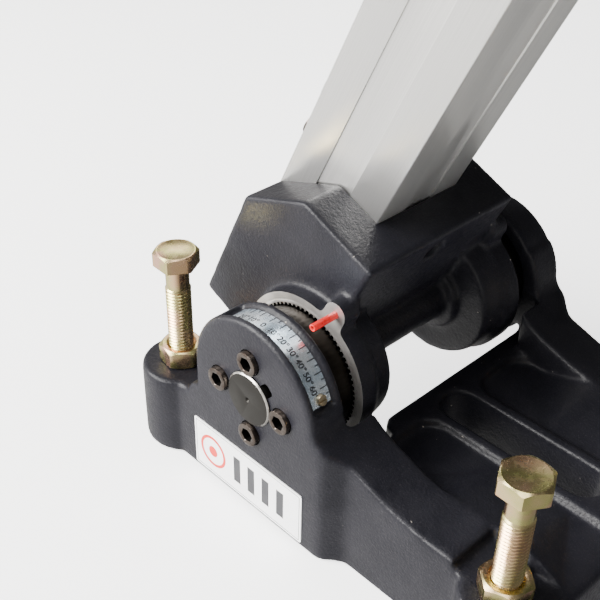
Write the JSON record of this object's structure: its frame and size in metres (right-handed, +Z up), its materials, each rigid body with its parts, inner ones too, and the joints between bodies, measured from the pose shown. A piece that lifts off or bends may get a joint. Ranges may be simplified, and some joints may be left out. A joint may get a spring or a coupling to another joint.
{
  "type": "core drill stand",
  "caption": "Cast base with levelling bolts and a tilting, angle-indexed head that holds a square column with a rack-driven motor carriage.",
  "frame": {"origin": "middle of the base's footprint, on the floor plane that the casting's rim stands on", "axes": "+Z up; +X to the rear, the way the column leans as drawn; +Y along the tilt shaft to the side away from the angle scale"},
  "size_m": [0.4545, 0.2305, 0.8994],
  "materials": {
    "cast_paint": "satin",
    "painted_alloy": "satin",
    "machined_alloy": "satin",
    "anodised": "satin",
    "dark_steel": "satin",
    "shaft_steel": "satin",
    "oiled_screw": "satin",
    "yellow_zinc": "gloss",
    "bright_zinc": "gloss",
    "scale_foil": "gloss",
    "label_plate": "satin",
    "red_plastic": "gloss",
    "black_plastic": "matte",
    "bronze": "satin",
    "rack_steel": "satin"
  },
  "bodies": {
    "base": {"base_casting": "cast_paint", "near_index_disc": "dark_steel", "far_index_disc": "dark_steel", "near_disc_screws": "oiled_screw", "far_disc_screws": "oiled_screw", "tilt_shaft": "shaft_steel", "shaft_key": "dark_steel", "shaft_washer": "bright_zinc", "shaft_nut": "bright_zinc", "scale_strip": "scale_foil", "scale_screw": "bright_zinc", "nameplate": "label_plate", "levelling_jam_nuts": "yellow_zinc"},
    "front_near_bolt": {"levelling_bolt_front_near": "yellow_zinc"},
    "front_far_bolt": {"levelling_bolt_front_far": "yellow_zinc"},
    "rear_near_bolt": {"levelling_bolt_rear_near": "yellow_zinc"},
    "rear_far_bolt": {"levelling_bolt_rear_far": "yellow_zinc"},
    "head": {"tilt_head": "cast_paint", "near_toothed_ring": "dark_steel", "far_toothed_ring": "dark_steel", "near_hub_bush": "bronze", "far_hub_bush": "bronze", "pointer_pin": "shaft_steel", "pointer_sleeve": "red_plastic", "column": "anodised", "column_through_bolt": "oiled_screw", "column_bolt_washer": "bright_zinc", "rack": "rack_steel", "rack_screws": "oiled_screw", "lower_travel_stop": "anodised", "upper_travel_stop": "anodised", "stop_screws": "oiled_screw", "column_cap": "black_plastic"},
    "carriage": {"carriage_housing": "painted_alloy", "guide_pads": "black_plastic", "pinion_bushes": "bronze", "motor_collar": "machined_alloy", "collar_foot_bolts": "oiled_screw", "collar_clamp_bolts": "oiled_screw"},
    "feed_pinion": {"pinion": "rack_steel", "pinion_shaft": "rack_steel", "shaft_retaining_ring": "bright_zinc", "crank_hub": "machined_alloy", "crank_arms": "bright_zinc", "crank_knobs": "black_plastic"},
    "carriage_lock": {"lock_screw": "bright_zinc", "lock_knob": "black_plastic"}
  },
  "joints": [
    {"name": "column_tilt", "type": "hinge", "parent": "base", "child": "head", "pos_m": [-0.0355, 0, 0.0765], "axis": [0, 1, 0], "range_deg": [-45.5, 34.5]},
    {"name": "carriage_feed", "type": "slide", "parent": "head", "child": "carriage", "axis": [0.4305, 0, 0.9026], "range_m": [-0.156, 0.43]},
    {"name": "crank_turn", "type": "hinge", "parent": "carriage", "child": "feed_pinion", "pos_m": [0.01396, 0, 0.42317], "axis": [0, 1, 0], "range_deg": [-640, 1700]},
    {"name": "lock_turn", "type": "hinge", "parent": "carriage", "child": "carriage_lock", "pos_m": [0.04626, -0.048, 0.36545], "axis": [0, 1, 0], "range_deg": [0, 270]},
    {"name": "front_near_level", "type": "slide", "parent": "base", "child": "front_near_bolt", "axis": [0, 0, 1], "range_m": [-0.03, 0.015]},
    {"name": "front_far_level", "type": "slide", "parent": "base", "child": "front_far_bolt", "axis": [0, 0, 1], "range_m": [-0.03, 0.015]},
    {"name": "rear_near_level", "type": "slide", "parent": "base", "child": "rear_near_bolt", "axis": [0, 0, 1], "range_m": [-0.03, 0.015]},
    {"name": "rear_far_level", "type": "slide", "parent": "base", "child": "rear_far_bolt", "axis": [0, 0, 1], "range_m": [-0.03, 0.015]}
  ],
  "couplings": [
    {"joint": "crank_turn", "follows": "carriage_feed", "rad_per_m": 66.667}
  ]
}
